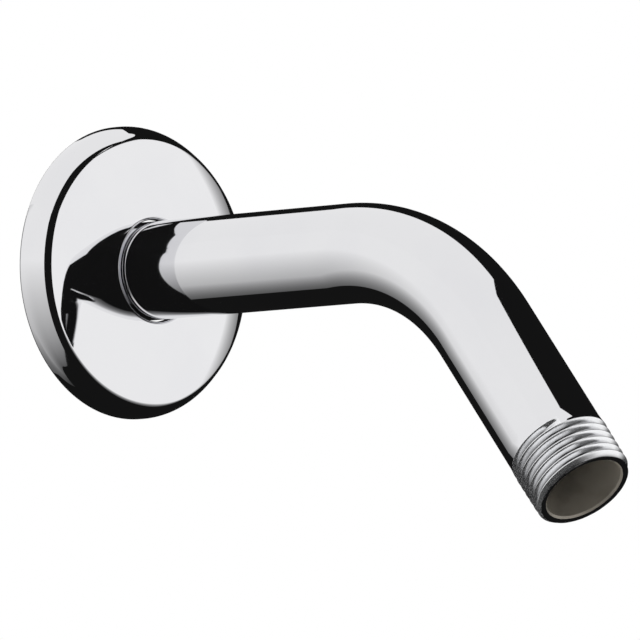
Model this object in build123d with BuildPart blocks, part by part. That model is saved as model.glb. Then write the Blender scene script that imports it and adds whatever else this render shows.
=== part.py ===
from build123d import *
import os
from math import cos, radians, sin, sqrt, tan

# Shower arm with its sliding wall flange, in millimetres.
# The origin is on the arm's axis in the plane of the finished wall: +X points
# out of the wall, +Z is up, and the arm bends down in the plane Y = 0.

# Arm tube
tube_diameter = 20.8
waterway_diameter = 16.6
wall_reach = 16.2
straight_run = 68.1
bend_radius = 51.4
bend_angle = 49.5
outlet_run = 44.7
mouth_bevel = 0.4

# Half-inch pipe threads, each a plain blank at the crest of its thread
thread_diameter = 21.3
wall_thread_length = 20.0
outlet_thread_length = 13.6
thread_tip_bevel = 0.7
thread_run_out = 0.6

# Wall flange, a pressed sheet cup with a bevelled side, a domed face and a turned-in hole
flange_diameter = 62.0
shoulder_depth = 3.3
shoulder_round = 5.0
bevel_angle = 31.0
edge_depth = 6.9
edge_round = 2.8
dome_radius = 98.0
sheet_thickness = 1.0
hole_clearance = 0.1
hole_bevel = 1.2
hole_depth = 2.9

tube_radius = tube_diameter / 2
waterway_radius = waterway_diameter / 2
thread_radius = thread_diameter / 2

# The centreline is two straight runs with one bend, so it turns at one corner
bend_tangent = bend_radius * tan(radians(bend_angle / 2))
corner_x = straight_run + bend_tangent
outlet_leg = bend_tangent + outlet_run
outlet_x = cos(radians(bend_angle))
outlet_z = -sin(radians(bend_angle))
outlet_end = (corner_x + outlet_leg * outlet_x, outlet_leg * outlet_z)

# The plain tube runs between the inner ends of the two threads
tube_start_x = wall_thread_length - wall_reach
tube_leg = outlet_leg - outlet_thread_length
tube_end = (corner_x + tube_leg * outlet_x, tube_leg * outlet_z)

# Each thread is turned in a plane through its own axis, from the arm's end inwards
wall_end_plane = Plane((-wall_reach, 0, 0), x_dir=(1, 0, 0), z_dir=(0, -1, 0))
outlet_end_plane = Plane(
    (outlet_end[0], 0, outlet_end[1]),
    x_dir=(-outlet_x, 0, -outlet_z),
    z_dir=(0, 1, 0),
)
threads = (
    (wall_end_plane, wall_thread_length),
    (outlet_end_plane, outlet_thread_length),
)

with BuildPart() as shower_arm:
    with BuildLine(Plane.XZ) as centreline:
        FilletPolyline((tube_start_x, 0), (corner_x, 0), tube_end, radius=bend_radius)
    with BuildSketch(Plane.YZ.offset(tube_start_x)):
        Circle(tube_radius)
        Circle(waterway_radius, mode=Mode.SUBTRACT)
    sweep(path=centreline.line)
    # Each thread stands a little proud of the tube, with its tip and mouth bevelled
    for end_plane, thread_length in threads:
        with BuildSketch(end_plane):
            with BuildLine():
                Polyline(
                    (0, waterway_radius + mouth_bevel),
                    (0, thread_radius - thread_tip_bevel),
                    (thread_tip_bevel, thread_radius),
                    (thread_length - thread_run_out, thread_radius),
                    (thread_length, tube_radius),
                    (thread_length, waterway_radius),
                    (mouth_bevel, waterway_radius),
                    close=True,
                )
            make_face()
        revolve(axis=Axis(end_plane.origin, end_plane.x_dir))
shower_arm.part.label = "shower_arm"

# The hole passes over the threads, so that the flange can be pushed on from either end
hole_radius = thread_radius + hole_clearance
rim_radius = flange_diameter / 2
edge_radius = rim_radius - (edge_depth - shoulder_depth) * tan(radians(bevel_angle))
dome_centre_x = edge_depth - sqrt(dome_radius**2 - edge_radius**2)
hole_edge_x = dome_centre_x + sqrt(dome_radius**2 - hole_radius**2)

# Outer corners of the sheet from its rim at the wall to the end of the turned-in hole
rim = (0, rim_radius)
shoulder = (shoulder_depth, rim_radius)
edge = (edge_depth, edge_radius)
hole_edge = (hole_edge_x, hole_radius)
hole_end = (hole_edge_x - hole_depth, hole_radius)

with BuildPart() as wall_flange:
    with BuildSketch(Plane.XZ) as sheet_section:
        with BuildLine():
            Polyline(rim, shoulder, edge, hole_edge, hole_end)
            offset(amount=sheet_thickness, side=Side.RIGHT, kind=Kind.INTERSECTION)
        make_face()
        # The dome's crown stands on the straight face of the sheet
        with BuildLine():
            dome = RadiusArc(edge, hole_edge, dome_radius)
            Line(dome @ 1, dome @ 0)
        make_face()
        fillet(sheet_section.vertices().sort_by_distance(shoulder)[0], shoulder_round)
        fillet(sheet_section.vertices().sort_by_distance(edge)[0], edge_round)
        chamfer(sheet_section.vertices().sort_by_distance(hole_edge)[0], hole_bevel)
    revolve(axis=Axis.X)
wall_flange.part.label = "wall_flange"

os.makedirs("parts", exist_ok=True)
for piece in (shower_arm, wall_flange):
    export_step(piece.part, f"parts/{piece.part.label}.step")
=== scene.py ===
import logging
import math
from dataclasses import dataclass, field
from enum import Enum

import bmesh
import bpy
from bmesh.types import BMEdge, BMesh, BMVert
from bpy.types import Material, Mesh, Node, NodeSocket, NodeTree, Object, ShaderNodeTree
from mathutils import Euler, Matrix, Vector


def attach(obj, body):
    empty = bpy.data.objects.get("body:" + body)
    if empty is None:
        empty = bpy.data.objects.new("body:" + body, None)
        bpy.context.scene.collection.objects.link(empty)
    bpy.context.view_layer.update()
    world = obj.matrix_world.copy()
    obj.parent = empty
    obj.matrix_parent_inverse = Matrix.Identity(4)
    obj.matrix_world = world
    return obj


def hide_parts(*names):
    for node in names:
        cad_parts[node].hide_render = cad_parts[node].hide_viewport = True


# Looks of the shower arm and its sliding wall flange. Sizes are in millimetres, as on
# the part, and MM turns them into the frame's metres.

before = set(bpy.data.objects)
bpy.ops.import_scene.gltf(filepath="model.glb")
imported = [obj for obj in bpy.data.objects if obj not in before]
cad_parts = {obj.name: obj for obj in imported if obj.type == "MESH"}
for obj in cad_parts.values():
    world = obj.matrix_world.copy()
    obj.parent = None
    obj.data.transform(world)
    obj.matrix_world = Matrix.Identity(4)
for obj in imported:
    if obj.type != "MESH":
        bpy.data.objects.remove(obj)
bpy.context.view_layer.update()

LOG = logging.getLogger("shower_arm")
MM = 0.001
FULL_TURN = 2 * math.pi
WELD = 1e-6
VIEW_AZIMUTH = math.radians(45.65)
DARK_LEVEL = 0.008

Colour = tuple[float, float, float, float]
Drawn = BMVert | BMEdge


class Piece(Enum):
    """A piece's name, with the body it rides on, the node it stands for and its finish slot."""

    ARM = ("plated_arm", "arm", "shower_arm", "arm_chrome")
    FLANGE = ("plated_flange", "flange", "wall_flange", "flange_chrome")

    @property
    def label(self) -> str:
        """The name of the finished object."""
        return self.value[0]


class Axes(Enum):
    """Whose axes a studio card is placed in: the part's, or the camera's right, front and up."""

    PART = "part"
    CAMERA = "camera"


class Facing(Enum):
    """How a flat studio card is turned, as angles about X, Y and Z."""

    OVERHEAD = (math.radians(-37.4), 0.0, 0.0)
    SIDE = (math.pi / 2, 0.0, math.pi / 2)
    WALLWARD = (math.pi / 2, math.radians(33.0), -math.pi / 2)


class NodeSheet:
    """Places and links the nodes of one shader tree."""

    def __init__(self, tree: NodeTree) -> None:
        """Keeps the tree that the nodes go into."""
        self.tree = tree

    def node(self, kind: str, **settings: object) -> Node:
        """Adds one node.

        Args:
            kind: the node type's identifier.
            settings: properties to set on the node.

        Returns:
            The new node.
        """
        made = self.tree.nodes.new(kind)
        for name, value in settings.items():
            setattr(made, name, value)
        return made

    def feed(self, node: Node, **inputs: object) -> Node:
        """Fills a node's inputs, each from a socket or with a plain value.

        Args:
            node: the node to fill.
            inputs: socket names, with underscores for spaces, and what goes in.

        Returns:
            The same node.
        """
        for name, value in inputs.items():
            self._fill(node.inputs[name.replace("_", " ")], value)
        return node

    def _fill(self, socket: NodeSocket, value: object) -> None:
        """Links an input to a socket, or sets its plain value.

        Args:
            socket: the input to fill.
            value: a socket or a plain value.
        """
        if isinstance(value, NodeSocket):
            self.tree.links.new(value, socket)
        else:
            socket.default_value = value

    def math(self, operation: str, first: object, second: object = 0.0) -> NodeSocket:
        """Adds a Math node.

        Args:
            operation: the name of the operation.
            first: a socket or number.
            second: a socket or number.

        Returns:
            The result's socket.
        """
        made = self.node("ShaderNodeMath", operation=operation)
        for socket, value in zip(made.inputs, (first, second)):
            self._fill(socket, value)
        return made.outputs["Value"]

    def ramp(
        self, value: NodeSocket, low: float, high: float, start: float, end: float
    ) -> NodeSocket:
        """Maps a value from one range to another, held at the ends.

        Args:
            value: the socket to map.
            low: where the range starts.
            high: where the range ends.
            start: what low becomes.
            end: what high becomes.

        Returns:
            The mapped value's socket.
        """
        made = self.node("ShaderNodeMapRange")
        self.feed(made, Value=value, From_Min=low, From_Max=high, To_Min=start, To_Max=end)
        return made.outputs["Result"]

    def blend(self, share: NodeSocket, first: object, second: object) -> NodeSocket:
        """Mixes two colours, each given as a socket or a plain colour.

        Args:
            share: how much of the second colour shows.
            first: the colour at a share of 0.
            second: the colour at a share of 1.

        Returns:
            The mixed colour's socket.
        """
        made = self.node("ShaderNodeMix", data_type="RGBA")
        self._fill(made.inputs["Factor"], share)
        for socket, colour in zip((s for s in made.inputs if s.type == "RGBA"), (first, second)):
            self._fill(socket, colour)
        return next(s for s in made.outputs if s.type == "RGBA")

    def one_sided(self, shader: NodeSocket) -> NodeSocket:
        """Clears a shader away on the backs of faces.

        Args:
            shader: what the fronts show.

        Returns:
            The mixed shader's socket.
        """
        mixed = self.node("ShaderNodeMixShader")
        clear = self.node("ShaderNodeBsdfTransparent").outputs["BSDF"]
        self.feed(mixed, Fac=self.node("ShaderNodeNewGeometry").outputs["Backfacing"])
        for socket, value in zip(mixed.inputs[1:], (shader, clear)):
            self._fill(socket, value)
        return mixed.outputs["Shader"]


class MetalGroup:
    """The shader node group that every metal finish shares: handling marks and fine unevenness."""

    NAME = "handled_metal"
    MARK_EDGES = (0.46, 0.74)
    MARK_DETAIL = 4.0
    GRAIN_DETAIL = 3.0

    def __init__(self) -> None:
        """Builds the group once."""
        self.tree: ShaderNodeTree = bpy.data.node_groups.new(self.NAME, "ShaderNodeTree")
        self._sockets()
        self._nodes()

    def _sockets(self) -> None:
        """Names the group's inputs and outputs."""
        for name, kind in (
            ("Vector", "NodeSocketVector"),
            ("Mark Scale", "NodeSocketFloat"),
            ("Grain Scale", "NodeSocketFloat"),
            ("Roughness", "NodeSocketFloat"),
            ("Mark Roughness", "NodeSocketFloat"),
        ):
            self.tree.interface.new_socket(name, in_out="INPUT", socket_type=kind)
        for name in ("Marks", "Roughness", "Grain"):
            self.tree.interface.new_socket(name, in_out="OUTPUT", socket_type="NodeSocketFloat")

    def _nodes(self) -> None:
        """Makes the marks from large noise and the grain from fine noise."""
        sheet = NodeSheet(self.tree)
        given = sheet.node("NodeGroupInput").outputs
        result = sheet.node("NodeGroupOutput")
        marks = sheet.node("ShaderNodeTexNoise")
        sheet.feed(marks, Vector=given["Vector"], Scale=given["Mark Scale"])
        sheet.feed(marks, Detail=self.MARK_DETAIL)
        share = sheet.ramp(marks.outputs["Fac"], *self.MARK_EDGES, 0.0, 1.0)
        grain = sheet.node("ShaderNodeTexNoise")
        sheet.feed(grain, Vector=given["Vector"], Scale=given["Grain Scale"])
        sheet.feed(grain, Detail=self.GRAIN_DETAIL)
        added = sheet.math("MULTIPLY", share, given["Mark Roughness"])
        rough = sheet.math("ADD", given["Roughness"], added)
        sheet.feed(result, Marks=share, Roughness=rough, Grain=grain.outputs["Fac"])


@dataclass(frozen=True)
class MetalFinish:
    """One metal finish, with its colour, its handling marks and how fine its grain is.

    Where a root shade colour is set, the surface darkens to it along the mesh's groove attribute,
    as painted shade in the thread's roots.
    """

    name: str
    colour: Colour
    marked_colour: Colour
    roughness: float
    mark_roughness: float
    mark_scale: float
    grain_scale: float
    grain_depth: float
    metallic: float = 1.0
    root_shade_colour: Colour | None = None

    GROOVE = "groove"
    GROOVE_EDGE = 4.0
    GRAIN_STRENGTH = 0.25

    def material(self, metal: MetalGroup) -> Material:
        """Builds the material.

        Args:
            metal: the shared node group.

        Returns:
            The finished material.
        """
        made = bpy.data.materials.new(self.name)
        made.use_nodes = True
        sheet = NodeSheet(made.node_tree)
        shader = made.node_tree.nodes["Principled BSDF"]
        place = sheet.node("ShaderNodeTexCoord").outputs["Object"]
        handled = sheet.node("ShaderNodeGroup", node_tree=metal.tree)
        sheet.feed(handled, Vector=place, Mark_Scale=self.mark_scale, Grain_Scale=self.grain_scale)
        sheet.feed(handled, Roughness=self.roughness, Mark_Roughness=self.mark_roughness)
        colour = sheet.blend(handled.outputs["Marks"], self.colour, self.marked_colour)
        # Painted shade: the thread's roots darken to a set colour where the mesh marks groove
        # depth.
        if self.root_shade_colour is not None:
            colour = self._paint_root_shade(sheet, colour)
        bump = sheet.node("ShaderNodeBump")
        sheet.feed(bump, Strength=self.GRAIN_STRENGTH, Distance=self.grain_depth * MM)
        sheet.feed(bump, Height=handled.outputs["Grain"])
        sheet.feed(shader, Base_Color=colour, Metallic=self.metallic)
        sheet.feed(shader, Roughness=handled.outputs["Roughness"], Normal=bump.outputs["Normal"])
        return made

    def _paint_root_shade(self, sheet: NodeSheet, colour: NodeSocket) -> NodeSocket:
        """Paints shade into the grooves, darkening a colour towards their roots.

        Args:
            sheet: the material's nodes.
            colour: the colour outside the grooves.

        Returns:
            The darkened colour's socket.
        """
        depth = sheet.node("ShaderNodeAttribute", attribute_name=self.GROOVE).outputs["Fac"]
        share = sheet.math("POWER", depth, self.GROOVE_EDGE)
        return sheet.blend(share, colour, self.root_shade_colour)


POLISHED_CHROME = MetalFinish(
    name="polished_chrome",
    colour=(0.81, 0.81, 0.825, 1.0),
    marked_colour=(0.79, 0.79, 0.81, 1.0),
    roughness=0.025,
    mark_roughness=0.02,
    mark_scale=55.0,
    grain_scale=900.0,
    grain_depth=0.002,
)
THREAD_CHROME = MetalFinish(
    name="thread_chrome",
    colour=(0.93, 0.935, 0.95, 1.0),
    marked_colour=(0.82, 0.825, 0.84, 1.0),
    roughness=0.18,
    mark_roughness=0.1,
    mark_scale=180.0,
    grain_scale=2500.0,
    grain_depth=0.006,
    metallic=0.93,
    # The dark colour in the thread's roots is painted shade.
    root_shade_colour=(0.2, 0.2, 0.205, 1.0),
)
DULL_PLATE = MetalFinish(
    name="dull_plate",
    colour=(0.56, 0.56, 0.56, 1.0),
    marked_colour=(0.44, 0.43, 0.41, 1.0),
    roughness=0.3,
    mark_roughness=0.15,
    mark_scale=70.0,
    grain_scale=1800.0,
    grain_depth=0.02,
)
BARE_BORE = MetalFinish(
    name="bare_bore",
    colour=(0.28, 0.255, 0.215, 1.0),
    marked_colour=(0.17, 0.155, 0.13, 1.0),
    roughness=0.36,
    mark_roughness=0.16,
    mark_scale=140.0,
    grain_scale=1500.0,
    grain_depth=0.05,
    metallic=0.42,
)


class MeshMaker:
    """Turns a finished bmesh into a piece of the object."""

    SHARP_ANGLE = math.radians(38)

    @classmethod
    def finish(cls, bm: BMesh, piece: Piece, materials: list[Material]) -> Object:
        """Closes the mesh, makes its object and fastens it to its body.

        Args:
            bm: the mesh, which is freed.
            piece: which piece it is.
            materials: the materials, in the order of the faces' indices.

        Returns:
            The finished object, at the origin.
        """
        bmesh.ops.remove_doubles(bm, verts=bm.verts[:], dist=WELD)
        bmesh.ops.recalc_face_normals(bm, faces=bm.faces[:])
        for face in bm.faces:
            face.smooth = True
        for edge in bm.edges:
            edge.smooth = edge.calc_face_angle(0.0) < cls.SHARP_ANGLE
        mesh = bpy.data.meshes.new(piece.label)
        bm.to_mesh(mesh)
        bm.free()
        for material in materials:
            mesh.materials.append(material)
        made = bpy.data.objects.new(piece.label, mesh)
        bpy.context.scene.collection.objects.link(made)
        _, body, node, slot = piece.value
        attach(made, body)
        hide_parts(node)
        return made


@dataclass
class PipeThread:
    """A right-hand pipe thread, cut on the end of the tube, in its own frame.

    The thread's axis is X. It starts at the end face, at 0, and runs inwards along +X. The
    groove stops at run_out before the blank's end, where the tube flares up to the thread.
    """

    length: float
    crest_radius: float = 10.65
    neck_radius: float = 10.4
    depth: float = 1.15
    pitch: float = 1.814
    first_turn: float = 0.33
    taper: float = 0.15
    flat_share: float = 0.12
    tip_bevel: float = 0.75
    flare: float = 3.0
    run_out: float = 2.6
    cut_fade: float = 0.12
    turn_steps: int = 128
    pitch_steps: int = 16

    LEAD_TURNS = 2
    SPARE_TURNS = 3

    def mesh(self, place: Matrix) -> Mesh:
        """Builds the threaded surface.

        Args:
            place: from the thread's frame to the part's.

        Returns:
            A mesh that is open at both ends.
        """
        bm = bmesh.new()
        self._screw(bm)
        groove = bm.verts.layers.float.new(MetalFinish.GROOVE)
        for vert in bm.verts:
            vert[groove] = self._shape(vert)
        for limit, side in ((0.0, -1), (self.length, 1)):
            bmesh.ops.bisect_plane(
                bm,
                geom=bm.verts[:] + bm.edges[:] + bm.faces[:],
                dist=WELD,
                plane_co=(limit * MM, 0, 0),
                plane_no=(side, 0, 0),
                clear_outer=True,
            )
        bm.transform(place)
        made = bpy.data.meshes.new("thread")
        bm.to_mesh(made)
        bm.free()
        return made

    def _screw(self, bm: BMesh) -> None:
        """Turns a straight line once, by one pitch, so that the tube's rows follow the helix.

        The tube runs past both ends, which are cut off later.

        Args:
            bm: the mesh to add to.
        """
        step = self.pitch / self.pitch_steps
        start = self.LEAD_TURNS * self.pitch
        turns = math.ceil(self.length / self.pitch) + self.SPARE_TURNS
        line = [
            bm.verts.new(((index * step - start) * MM, 0, self.crest_radius * MM))
            for index in range(turns * self.pitch_steps + 1)
        ]
        edges = [bm.edges.new(pair) for pair in zip(line, line[1:])]
        bmesh.ops.spin(
            bm,
            geom=line + edges,
            axis=(1, 0, 0),
            dvec=(self.pitch / self.turn_steps * MM, 0, 0),
            angle=FULL_TURN,
            steps=self.turn_steps,
        )
        bmesh.ops.remove_doubles(bm, verts=bm.verts[:], dist=WELD)

    def is_blank(self, point: Vector) -> bool:
        """Tells whether a point, in the thread's frame, lies past the groove's end."""
        return self._groove_middle(point) > self.length - self.run_out

    def _groove_middle(self, point: Vector) -> float:
        """Finds how far along the axis the middle of a point's groove passes on its side."""
        turned = math.atan2(-point.y, point.z) / FULL_TURN - self.first_turn
        return (math.floor(point.x / MM / self.pitch - turned) + 0.5 + turned) * self.pitch

    def _shape(self, vert: BMVert) -> float:
        """Moves a point in to the thread's form.

        Args:
            vert: a point of the plain tube.

        Returns:
            How deep in the groove the point lies, from 0 at the crest to 1 at the root.
        """
        along = vert.co.x / MM
        middle = self._groove_middle(vert.co)
        apart = abs(along - middle) / self.pitch * 2
        height = (apart - self.flat_share) / (1 - 2 * self.flat_share)
        left = (self.length - self.run_out - middle) / self.cut_fade
        groove = (1 - min(max(height, 0.0), 1.0)) * min(max(left, 0.0), 1.0)
        crest = self.crest_radius - self.taper * (1 - along / self.length)
        rise = min(max((self.length - along) / self.flare, 0.0), 1.0) ** 2
        radius = self.neck_radius + (crest - self.neck_radius) * rise - self.depth * groove
        radius = min(radius, self.crest_radius - self.tip_bevel + max(along, 0.0))
        scale = radius * MM / math.hypot(vert.co.y, vert.co.z)
        vert.co.y *= scale
        vert.co.z *= scale
        return groove


@dataclass
class ShowerArm:
    """The bent plated tube, threaded at both ends, with an open waterway."""

    tube_radius: float = 10.4
    bore_radius: float = 8.3
    wall_reach: float = 16.2
    straight_run: float = 68.1
    bend_radius: float = 51.4
    bend_angle: float = math.radians(49.5)
    outlet_run: float = 44.7
    mouth_bevel: float = 0.4
    wall_thread: PipeThread = field(default_factory=lambda: PipeThread(length=20.0))
    outlet_thread: PipeThread = field(default_factory=lambda: PipeThread(length=13.6))
    neck: float = 0.3
    end_band: float = 1.0
    ring_steps: int = 192
    bend_steps: int = 96

    CHROME, THREAD, BORE = range(3)

    def build(self, metal: MetalGroup) -> Object:
        """Builds and dresses the arm.

        Args:
            metal: the shared node group.

        Returns:
            The finished arm.
        """
        bm = bmesh.new()
        mouths = self._sweep(bm, self.bore_radius, self.mouth_bevel, self.mouth_bevel)
        for mouth, inwards in zip(mouths, self._end_frames()):
            self._bevel_mouth(bm, mouth, inwards)
        for face in bm.faces:
            face.material_index = self.BORE
        threads = (self.wall_thread, self.outlet_thread)
        for thread, inwards in zip(threads, self._end_frames()):
            self._add_thread(bm, thread, inwards)
        self._sweep(bm, self.tube_radius, *(thread.length + self.neck for thread in threads))
        for thread, inwards in zip(threads, self._end_frames()):
            self._join(bm, inwards, 0.0, 0.0)
            self._join(bm, inwards, thread.length, thread.length + self.neck)
        finishes = (POLISHED_CHROME, THREAD_CHROME, BARE_BORE)
        return MeshMaker.finish(bm, Piece.ARM, [finish.material(metal) for finish in finishes])

    def _end_frames(self) -> tuple[Matrix, Matrix]:
        """Works out the frames of the two ends.

        Returns:
            The wall end's frame and the outlet's, each with +X pointing into the arm.
        """
        wall_end = Matrix.Translation((-self.wall_reach * MM, 0, 0))
        bent = self._bend_turn()
        outwards = Matrix.Translation(((self.straight_run + self.outlet_run) * MM, 0, 0))
        turned_back = Matrix.Rotation(math.pi, 4, "Z")
        return wall_end, bent @ outwards @ turned_back

    def _bend_turn(self) -> Matrix:
        """The turn about the bend's axis that carries the straight run on to the outlet run."""
        centre = Matrix.Translation((self.straight_run * MM, 0, -self.bend_radius * MM))
        return centre @ Matrix.Rotation(self.bend_angle, 4, "Y") @ centre.inverted()

    def _sweep(
        self, bm: BMesh, radius: float, wall_gap: float, outlet_gap: float
    ) -> tuple[list[BMEdge], list[BMEdge]]:
        """Sweeps a circle along the arm's line.

        Args:
            bm: the mesh to add to.
            radius: the circle's radius.
            wall_gap: how far from the wall end it starts.
            outlet_gap: how far from the outlet end it stops.

        Returns:
            The edges of the first and of the last ring.
        """
        start = wall_gap - self.wall_reach
        upright = Matrix.Translation((start * MM, 0, 0)) @ Matrix.Rotation(math.pi / 2, 4, "Y")
        ring = bmesh.ops.create_circle(
            bm, segments=self.ring_steps, radius=radius * MM, matrix=upright
        )
        first = list({edge for vert in ring["verts"] for edge in vert.link_edges})
        inner = self._pull(bm, first, Vector((self.end_band * MM, 0, 0)))
        straight = self.straight_run - start - self.end_band
        corner = self._pull(bm, inner, Vector((straight * MM, 0, 0)))
        spun = bmesh.ops.spin(
            bm,
            geom=corner,
            cent=(self.straight_run * MM, 0, -self.bend_radius * MM),
            axis=(0, 1, 0),
            angle=self.bend_angle,
            steps=self.bend_steps,
        )
        bent = [item for item in spun["geom_last"] if isinstance(item, BMEdge)]
        outwards = Vector((math.cos(self.bend_angle), 0, -math.sin(self.bend_angle)))
        straight = self.outlet_run - outlet_gap - self.end_band
        outer = self._pull(bm, bent, outwards * straight * MM)
        last = self._pull(bm, outer, outwards * self.end_band * MM)
        return first, last

    @staticmethod
    def _pull(bm: BMesh, ring: list[BMEdge], move: Vector) -> list[BMEdge]:
        """Extrudes a ring of edges straight.

        Args:
            bm: the mesh.
            ring: the ring's edges.
            move: how far and which way.

        Returns:
            The new ring's edges.
        """
        made = bmesh.ops.extrude_edge_only(bm, edges=ring)["geom"]
        verts = [item for item in made if isinstance(item, BMVert)]
        bmesh.ops.translate(bm, verts=verts, vec=move)
        edges = [item for item in made if isinstance(item, BMEdge)]
        return [edge for edge in edges if set(edge.verts) <= set(verts)]

    def _bevel_mouth(self, bm: BMesh, mouth: list[BMEdge], inwards: Matrix) -> None:
        """Bevels the waterway's mouth out to the end face.

        Args:
            bm: the mesh.
            mouth: the edges of the waterway's last ring.
            inwards: the end's frame.
        """
        out = inwards.to_3x3() @ Vector((-self.mouth_bevel * MM, 0, 0))
        lip = self._pull(bm, mouth, out)
        wide = 1 + self.mouth_bevel / self.bore_radius
        verts = list({vert for edge in lip for vert in edge.verts})
        centre = Matrix.Translation(-inwards.translation)
        bmesh.ops.scale(bm, verts=verts, vec=(wide, wide, wide), space=centre)

    def _add_thread(self, bm: BMesh, thread: PipeThread, inwards: Matrix) -> None:
        """Adds one thread's surface.

        Args:
            bm: the mesh.
            thread: the thread.
            inwards: the end's frame.
        """
        surface = thread.mesh(inwards)
        older = set(bm.faces)
        bm.from_mesh(surface)
        bpy.data.meshes.remove(surface)
        local = inwards.inverted()
        for face in set(bm.faces) - older:
            blank = thread.is_blank(local @ face.calc_center_median())
            face.material_index = self.CHROME if blank else self.THREAD

    def _join(self, bm: BMesh, inwards: Matrix, first: float, second: float) -> None:
        """Bridges, in chrome, the open rings that stand at two distances from an end.

        Args:
            bm: the mesh.
            inwards: the end's frame.
            first: the distance of one ring.
            second: the distance of the other, which may be the same.
        """
        local = inwards.inverted()
        near = []
        for edge in (edge for edge in bm.edges if edge.is_boundary):
            ends = [local @ vert.co for vert in edge.verts]
            if any(all(abs(end.x - gap * MM) < WELD for end in ends) for gap in (first, second)):
                near.append(edge)
        for face in bmesh.ops.bridge_loops(bm, edges=near)["faces"]:
            face.material_index = self.CHROME


class ProfilePen:
    """Draws a section in the plane of X and Z, as a chain of straight and round stretches."""

    def __init__(self, bm: BMesh, start: Vector) -> None:
        """Puts the pen down.

        Args:
            bm: the mesh to draw in.
            start: where the chain starts, as X and radius.
        """
        self.bm = bm
        self.tip = bm.verts.new((start.x * MM, 0, start.y * MM))
        self.chain: set[Drawn] = {self.tip}

    def line(self, end: Vector) -> None:
        """Draws a straight stretch.

        Args:
            end: where it ends, as X and radius.
        """
        made = bmesh.ops.extrude_vert_indiv(self.bm, verts=[self.tip])
        self.tip = made["verts"][0]
        self.tip.co = (end.x * MM, 0, end.y * MM)
        self.chain.update(made["verts"] + made["edges"])

    def arc(self, centre: Vector, angle: float, steps: int) -> None:
        """Draws a round stretch.

        Args:
            centre: the arc's centre, as X and radius.
            angle: how far it turns, from +Z towards +X.
            steps: how many edges it has.
        """
        older = set(self.bm.edges)
        spun = bmesh.ops.spin(
            self.bm,
            geom=[self.tip],
            cent=(centre.x * MM, 0, centre.y * MM),
            axis=(0, 1, 0),
            angle=angle,
            steps=steps,
        )
        self.tip = next(item for item in spun["geom_last"] if isinstance(item, BMVert))
        drawn = set(self.bm.edges) - older
        self.chain.update(drawn | {vert for edge in drawn for vert in edge.verts})


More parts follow.
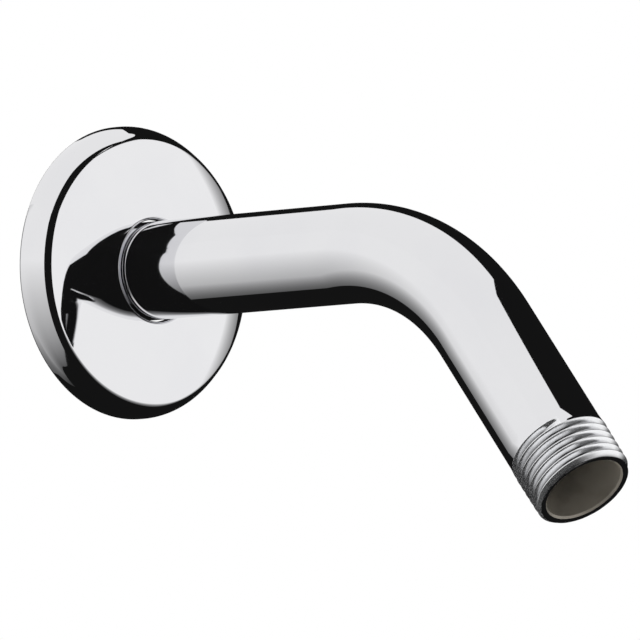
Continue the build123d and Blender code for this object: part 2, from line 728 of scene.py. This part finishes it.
@dataclass
class WallFlange:
    """The pressed sheet cup that covers the hole in the wall.

    Its face is flat round the tube's hole, out to flat_radius, and domed from there to its edge.
    """

    rim_radius: float = 31.0
    shoulder_x: float = 3.3
    shoulder_round: float = 5.0
    bevel_angle: float = math.radians(31.0)
    edge_round: float = 2.8
    edge_x: float = 6.9
    flat_radius: float = 12.0
    dome_radius: float = 48.0
    sheet: float = 1.0
    rim_round: float = 0.95
    hole_radius: float = 10.75
    hole_roll: float = 0.9
    hole_lip: float = 1.2
    turn_steps: int = 256
    round_steps: int = 16
    dome_steps: int = 32

    CHROME, INSIDE = range(2)

    def build(self, metal: MetalGroup) -> Object:
        """Builds and dresses the flange.

        Args:
            metal: the shared node group.

        Returns:
            The finished flange.
        """
        bm = bmesh.new()
        for index, depth in ((self.CHROME, 0.0), (self.INSIDE, self.sheet)):
            older = set(bm.faces)
            self._turn(bm, self._section(bm, depth))
            for face in set(bm.faces) - older:
                face.material_index = index
        finishes = (POLISHED_CHROME, DULL_PLATE)
        return MeshMaker.finish(bm, Piece.FLANGE, [finish.material(metal) for finish in finishes])

    def _section(self, bm: BMesh, depth: float) -> list[Drawn]:
        """Draws the sheet's outer line with its two cut edges, or the inner line between them.

        Args:
            bm: the mesh to draw in.
            depth: how far inside the outer face the line lies, 0 or the sheet's thickness.

        Returns:
            The line's vertices and edges.
        """
        bevel = self.bevel_angle
        bevel_out = Vector((math.sin(bevel), math.cos(bevel)))
        bevel_way = Vector((math.cos(bevel), -math.sin(bevel)))
        shoulder = Vector((self.shoulder_x, self.rim_radius))
        corner = shoulder + bevel_way * (self.edge_x - self.shoulder_x) / bevel_way.x
        rise = math.sqrt(self.dome_radius**2 - (corner.y - self.flat_radius) ** 2)
        dome = Vector((corner.x - rise, self.flat_radius))
        turn = shoulder - Vector((self.shoulder_round * math.tan(bevel / 2), self.shoulder_round))
        edge = self._edge_centre(dome, shoulder - bevel_out * self.edge_round, bevel_way)
        edge_tilt = math.atan2(edge.x - dome.x, edge.y - dome.y)
        face_x = dome.x + self.dome_radius
        hole = Vector((face_x - self.hole_roll, self.hole_radius + self.hole_roll))
        rim = self.rim_radius - depth
        pen = ProfilePen(bm, Vector((0, self.rim_radius - self.sheet)))
        if depth < self.sheet:
            pen.line(Vector((0, rim - self.rim_round)))
            pen.arc(Vector((self.rim_round, rim - self.rim_round)), math.pi / 2, self.round_steps)
        pen.line(Vector((turn.x, rim)))
        pen.arc(turn, bevel, self.round_steps)
        pen.line(edge + bevel_out * (self.edge_round - depth))
        pen.arc(edge, edge_tilt - bevel, self.round_steps)
        pen.arc(dome, math.pi / 2 - edge_tilt, self.dome_steps)
        if depth < self.sheet:
            pen.line(Vector((face_x, hole.y)))
            pen.arc(hole, math.pi / 2, self.round_steps)
        else:
            pen.line(Vector((face_x - depth, self.hole_radius + depth)))
        pen.line(Vector((hole.x - self.hole_lip, self.hole_radius + depth)))
        if depth < self.sheet:
            pen.line(Vector((hole.x - self.hole_lip, self.hole_radius + self.sheet)))
        return list(pen.chain)

    def _edge_centre(self, dome: Vector, start: Vector, way: Vector) -> Vector:
        """Finds the centre of the round that meets the bevel and the dome smoothly.

        Args:
            dome: the dome's centre.
            start: a point on the line that runs inside the bevel by the round's radius.
            way: the direction along the bevel, away from the wall.

        Returns:
            The centre, as X and radius.
        """
        gap = start - dome
        half = gap.dot(way)
        reach = self.dome_radius - self.edge_round
        return start + way * (math.sqrt(half**2 - gap.length_squared + reach**2) - half)

    def _turn(self, bm: BMesh, chain: list[Drawn]) -> None:
        """Turns a drawn line about the arm's axis.

        Args:
            bm: the mesh.
            chain: the line's vertices and edges.
        """
        bmesh.ops.spin(
            bm,
            geom=chain,
            axis=(1, 0, 0),
            angle=FULL_TURN,
            steps=self.turn_steps,
            use_merge=True,
        )


@dataclass(frozen=True)
class Glow:
    """How bright a card is: full above one height and in front of one line, less past them.

    Where one_sided is set, the card is clear from behind.
    """

    level: float
    full_height: float = 0.0
    fall: float = 0.0
    full_front: float = 0.0
    front_fall: float = 0.0
    one_sided: bool = False

    def material(self, name: str) -> Material:
        """Makes the glowing material.

        Args:
            name: the material's name.

        Returns:
            The material, which reads the card's own axes.
        """
        made = bpy.data.materials.new(name)
        made.use_nodes = True
        made.node_tree.nodes.clear()
        sheet = NodeSheet(made.node_tree)
        place = sheet.node("ShaderNodeTexCoord").outputs["Object"]
        along = sheet.feed(sheet.node("ShaderNodeSeparateXYZ"), Vector=place).outputs
        below = sheet.math("MINIMUM", sheet.math("SUBTRACT", along["Z"], self.full_height), 0.0)
        behind = sheet.math("MINIMUM", sheet.math("SUBTRACT", along["Y"], self.full_front), 0.0)
        loss = sheet.math("MULTIPLY", below, self.fall)
        loss = sheet.math("ADD", loss, sheet.math("MULTIPLY", behind, self.front_fall))
        level = sheet.math("MULTIPLY", sheet.math("EXPONENT", loss), self.level)
        light = sheet.feed(sheet.node("ShaderNodeEmission"), Strength=level)
        surface = light.outputs["Emission"]
        if self.one_sided:
            surface = sheet.one_sided(surface)
        sheet.feed(sheet.node("ShaderNodeOutputMaterial"), Surface=surface)
        return made


@dataclass(frozen=True)
class FlatCard:
    """A flat card that the chrome mirrors, by the middle and size of its plane, in metres.

    Where trim_reach is set, the card stops that far from the axes' origin, in the level
    direction that trim_bearing gives as an angle from +X towards +Y.
    """

    name: str
    axes: Axes
    facing: Facing
    centre: tuple[float, float, float]
    width: float
    depth: float
    glow: Glow
    trim_bearing: float = 0.0
    trim_reach: float | None = None

    def mesh(self) -> BMesh:
        """Makes the card in its own axes.

        Returns:
            The card's mesh.
        """
        bm = bmesh.new()
        half_size = Matrix.Diagonal((self.width / 2, self.depth / 2, 1, 1))
        turn = Euler(self.facing.value).to_matrix().to_4x4()
        place = Matrix.Translation(self.centre) @ turn @ half_size
        bmesh.ops.create_grid(bm, x_segments=1, y_segments=1, size=1, matrix=place)
        if self.trim_reach is not None:
            outwards = Vector((math.cos(self.trim_bearing), math.sin(self.trim_bearing), 0))
            bmesh.ops.bisect_plane(
                bm,
                geom=bm.verts[:] + bm.edges[:] + bm.faces[:],
                plane_co=outwards * self.trim_reach,
                plane_no=outwards,
                clear_outer=True,
            )
        return bm


@dataclass(frozen=True)
class CurvedCard:
    """A white card bent about the upright axis, from one bearing to another, in metres.

    A bearing is an angle from the studio's front, towards its right.
    """

    name: str
    axes: Axes
    radius: float
    start: float
    end: float
    foot: float
    head: float
    glow: Glow
    steps: int = 48

    def mesh(self) -> BMesh:
        """Makes the card in its own axes.

        Returns:
            The card's mesh.
        """
        bm = bmesh.new()
        side = Vector((math.sin(self.start), math.cos(self.start), 0)) * self.radius
        ends = [bm.verts.new(side + Vector((0, 0, height))) for height in (self.foot, self.head)]
        pole = bm.edges.new(ends)
        bmesh.ops.spin(
            bm,
            geom=[*ends, pole],
            axis=(0, 0, 1),
            angle=self.start - self.end,
            steps=self.steps,
        )
        return bm


@dataclass
class Studio:
    """A dark room with pale cards, one dark card, a pale floor and one soft lamp, in metres."""

    azimuth: float = VIEW_AZIMUTH
    room_size: float = 12.0
    room_level: float = DARK_LEVEL
    floor_height: float = -0.3
    floor_radius: float = 9.0
    floor_steps: int = 96
    floor_colour: Colour = (0.93, 0.93, 0.93, 1.0)
    floor_roughness: float = 0.9
    lamp_height: float = 1.6
    lamp_size: float = 1.5
    lamp_power: float = 26.0
    fill_level: float = 0.72
    cards: tuple[FlatCard | CurvedCard, ...] = (
        CurvedCard(
            name="left_card",
            axes=Axes.CAMERA,
            radius=2.0,
            start=math.radians(-134.0),
            end=math.radians(-25.5),
            foot=-5.5,
            head=2.6,
            glow=Glow(level=0.955, full_height=0.2, fall=0.39, full_front=-0.5, front_fall=1.5),
        ),
        FlatCard(
            name="ceiling_card",
            axes=Axes.PART,
            facing=Facing.OVERHEAD,
            centre=(0.7, -1.07, 0.983),
            width=2.4,
            depth=2.843,
            glow=Glow(level=0.945),
            trim_bearing=math.radians(44.35),
            trim_reach=0.132,
        ),
        FlatCard(
            name="right_card",
            axes=Axes.CAMERA,
            facing=Facing.SIDE,
            centre=(2.0, 0.525, -0.2),
            width=3.75,
            depth=3.3,
            glow=Glow(level=1.0, full_height=-0.95, fall=3.0, full_front=-0.85, front_fall=2.5),
        ),
        FlatCard(
            name="dark_card",
            axes=Axes.PART,
            facing=Facing.WALLWARD,
            centre=(0.08, -0.0363, 0.1472),
            width=0.334,
            depth=0.17,
            glow=Glow(level=DARK_LEVEL, one_sided=True),
        ),
    )

    def build(self, centre: Vector) -> None:
        """Sets up the world, the lamp, the floor, the room and the cards.

        Args:
            centre: the middle of the object.
        """
        turned = Matrix.Rotation(self.azimuth, 4, "Z") @ Matrix.Diagonal((1, -1, 1, 1))
        places = {Axes.CAMERA: Matrix.Translation(centre) @ turned, Axes.PART: Matrix.Identity(4)}
        self._world()
        self._lamp(centre)
        self._floor(centre)
        self._room(places[Axes.CAMERA])
        for card in self.cards:
            material = card.glow.material(card.name)
            self.reflected(card.name, card.mesh(), material, places[card.axes])

    @staticmethod
    def reflected(name: str, bm: BMesh, material: Material, place: Matrix) -> None:
        """Makes a stage object that only reflections show.

        Args:
            name: the object's name.
            bm: its mesh, which is freed.
            material: its material.
            place: its place in the part's frame.
        """
        made = Studio.stage_object(name, bm, material)
        made.matrix_world = place
        made.visible_camera = False
        made.visible_diffuse = False
        made.visible_shadow = False
        made.visible_transmission = False

    @staticmethod
    def stage_object(name: str, bm: BMesh, material: Material) -> Object:
        """Makes an object that isn't part of the shower arm.

        Args:
            name: the object's name.
            bm: its mesh, which is freed.
            material: its material.

        Returns:
            The stage object.
        """
        mesh = bpy.data.meshes.new(name)
        bm.to_mesh(mesh)
        bm.free()
        mesh.materials.append(material)
        made = bpy.data.objects.new(name, mesh)
        bpy.context.scene.collection.objects.link(made)
        return made

    def _world(self) -> None:
        """Makes the background white where it is seen or mirrored, and a plain fill elsewhere."""
        world = bpy.data.worlds.new("studio")
        bpy.context.scene.world = world
        world.use_nodes = True
        sheet = NodeSheet(world.node_tree)
        path = sheet.node("ShaderNodeLightPath").outputs
        seen = sheet.math("MAXIMUM", path["Is Camera Ray"], path["Is Glossy Ray"])
        seen = sheet.math("MAXIMUM", seen, path["Is Transmission Ray"])
        level = sheet.ramp(seen, 0.0, 1.0, self.fill_level, 1.0)
        sheet.feed(world.node_tree.nodes["Background"], Color=(1, 1, 1, 1), Strength=level)

    def _lamp(self, centre: Vector) -> None:
        """Hangs one broad lamp above the object.

        Args:
            centre: the middle of the object.
        """
        light = bpy.data.lights.new("soft_lamp", "AREA")
        light.shape = "DISK"
        light.size = self.lamp_size
        light.energy = self.lamp_power
        lamp = bpy.data.objects.new("soft_lamp", light)
        lamp.location = centre + Vector((0, 0, self.lamp_height))
        lamp.visible_glossy = False
        bpy.context.scene.collection.objects.link(lamp)

    def _floor(self, centre: Vector) -> None:
        """Lays a pale floor, open to views from below and left out of reflections.

        Args:
            centre: the middle of the object.
        """
        material = bpy.data.materials.new("pale_floor")
        material.use_nodes = True
        sheet = NodeSheet(material.node_tree)
        shader = material.node_tree.nodes["Principled BSDF"]
        sheet.feed(shader, Base_Color=self.floor_colour, Roughness=self.floor_roughness)
        surface = sheet.one_sided(shader.outputs["BSDF"])
        sheet.feed(material.node_tree.nodes["Material Output"], Surface=surface)
        bm = bmesh.new()
        bmesh.ops.create_circle(
            bm,
            cap_ends=True,
            segments=self.floor_steps,
            radius=self.floor_radius,
            matrix=Matrix.Translation((centre.x, centre.y, self.floor_height)),
        )
        floor = self.stage_object("pale_floor", bm, material)
        floor.visible_glossy = False

    def _room(self, axes: Matrix) -> None:
        """Closes the studio with dark walls, which the chrome mirrors between the cards.

        Args:
            axes: the studio's place and axes.
        """
        material = bpy.data.materials.new("dark_walls")
        material.use_nodes = True
        material.node_tree.nodes.clear()
        sheet = NodeSheet(material.node_tree)
        glow = sheet.feed(sheet.node("ShaderNodeEmission"), Strength=self.room_level)
        sheet.feed(sheet.node("ShaderNodeOutputMaterial"), Surface=glow.outputs["Emission"])
        bm = bmesh.new()
        bmesh.ops.create_cube(bm, size=self.room_size)
        self.reflected("dark_room", bm, material, axes)


@dataclass
class PhotoCamera:
    """The camera at the photograph's viewing angle, aimed and placed in millimetres.

    sight, in metres, is how far it sees.
    """

    azimuth: float = VIEW_AZIMUTH
    elevation: float = math.radians(-5.67)
    roll: float = math.radians(1.13)
    aim: tuple[float, float, float] = (57.86, 1.21, -13.13)
    distance: float = 2073.8
    lens: float = 562.5
    sensor: float = 36.0
    sight: float = 100.0

    def build(self) -> None:
        """Places the camera and makes it the scene's."""
        data = bpy.data.cameras.new("photo_camera")
        data.lens = self.lens
        data.sensor_width = self.sensor
        data.clip_end = self.sight
        camera = bpy.data.objects.new("photo_camera", data)
        level = Euler((math.pi / 2 - self.elevation, 0, self.azimuth)).to_matrix().to_4x4()
        turn = level @ Matrix.Rotation(self.roll, 4, "Z")
        back = turn.to_3x3() @ Vector((0, 0, 1))
        place = (Vector(self.aim) + back * self.distance) * MM
        camera.matrix_world = Matrix.Translation(place) @ turn
        bpy.context.scene.collection.objects.link(camera)
        bpy.context.scene.camera = camera


def main() -> None:
    """Builds the pieces in order, then the camera and the studio."""
    logging.basicConfig(level=logging.INFO, format="%(message)s")
    bpy.context.scene.view_settings.view_transform = "Standard"
    metal = MetalGroup()
    for part in (ShowerArm(), WallFlange()):
        made = part.build(metal)
        LOG.info("%s: %d faces", made.name, len(made.data.polygons))
    camera = PhotoCamera()
    camera.build()
    Studio().build(Vector(camera.aim) * MM)


if __name__ == "__main__":
    main()
